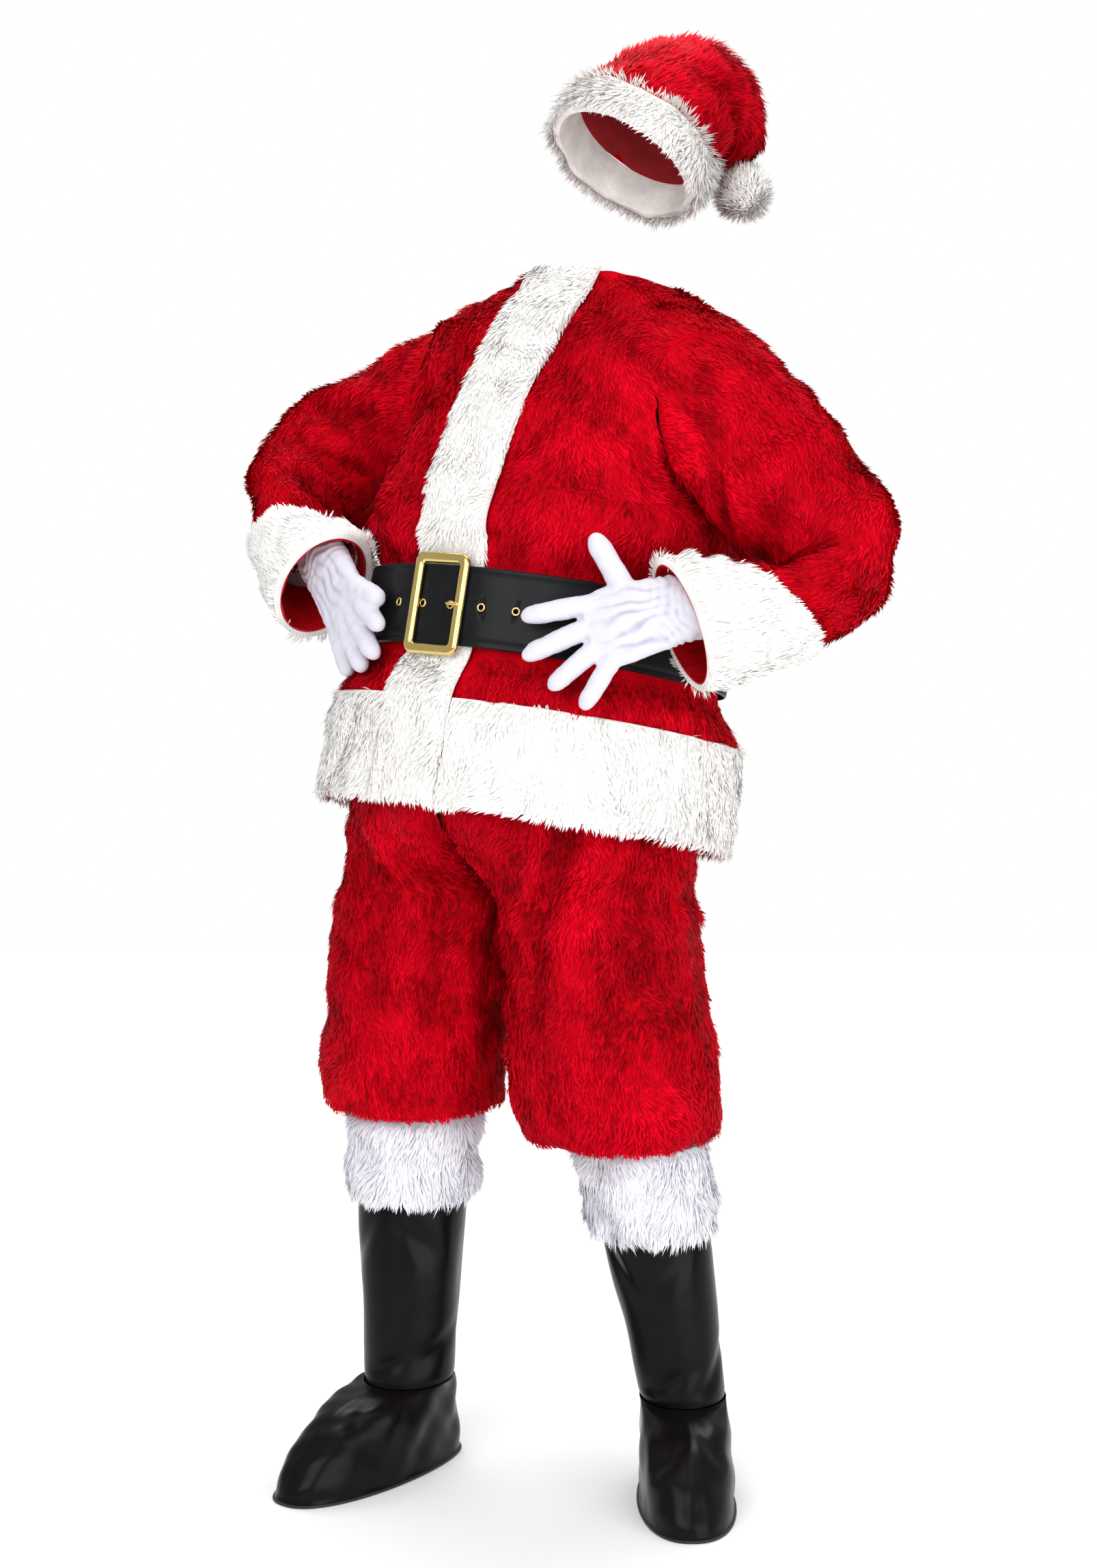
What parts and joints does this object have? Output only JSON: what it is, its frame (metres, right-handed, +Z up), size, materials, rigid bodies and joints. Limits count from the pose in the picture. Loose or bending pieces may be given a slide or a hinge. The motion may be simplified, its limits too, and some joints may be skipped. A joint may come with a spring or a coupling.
{
  "type": "santa suit",
  "caption": "Plush costume worn hollow: belted jacket with fur trim and bent sleeves, knee-length trousers, boot covers, gloves and a folded hat with a pompom.",
  "frame": {"origin": "the centre of the neck opening, where the worn suit is held", "axes": "+Z up; -Y ahead of the toes of the left foot; +X towards the left arm; the jacket's front faces 38 degrees from -Y towards -X"},
  "size_m": [0.7876, 0.6625, 1.7446],
  "materials": {
    "red_plush": "short soft pile",
    "white_plush": "long soft pile",
    "red_satin": "satin",
    "black_vinyl": "glossy",
    "black_sole": "matte",
    "gold_metal": "polished",
    "white_knit": "fine knit"
  },
  "bodies": {
    "root": {"belt_strap": "black_vinyl", "boot_foot_left": "black_vinyl", "boot_foot_right": "black_vinyl", "boot_fur_left": "white_plush", "boot_fur_right": "white_plush", "boot_shaft_left": "black_vinyl", "boot_shaft_right": "black_vinyl", "boot_sole_left": "black_sole", "boot_sole_right": "black_sole", "buckle_frame": "gold_metal", "buckle_prong": "gold_metal", "cuff_left": "white_plush", "cuff_lining_left": "red_satin", "cuff_lining_right": "red_satin", "cuff_right": "white_plush", "front_strip": "white_plush", "glove_left": "white_knit", "glove_right": "white_knit", "grommet_1": "gold_metal", "grommet_2": "gold_metal", "grommet_3": "gold_metal", "grommet_4": "gold_metal", "grommet_5": "gold_metal", "hat_brim": "white_plush", "hat_crown": "red_plush", "hat_pompom": "white_plush", "hem_band_back": "white_plush", "hem_band_left": "white_plush", "hem_band_right": "white_plush", "jacket_back": "red_plush", "jacket_front_left": "red_plush", "jacket_front_right": "red_plush", "sleeve_left": "red_plush", "sleeve_right": "red_plush", "trouser_back_left": "red_plush", "trouser_back_right": "red_plush", "trouser_front_left": "red_plush", "trouser_front_right": "red_plush"}
  },
  "joints": []
}
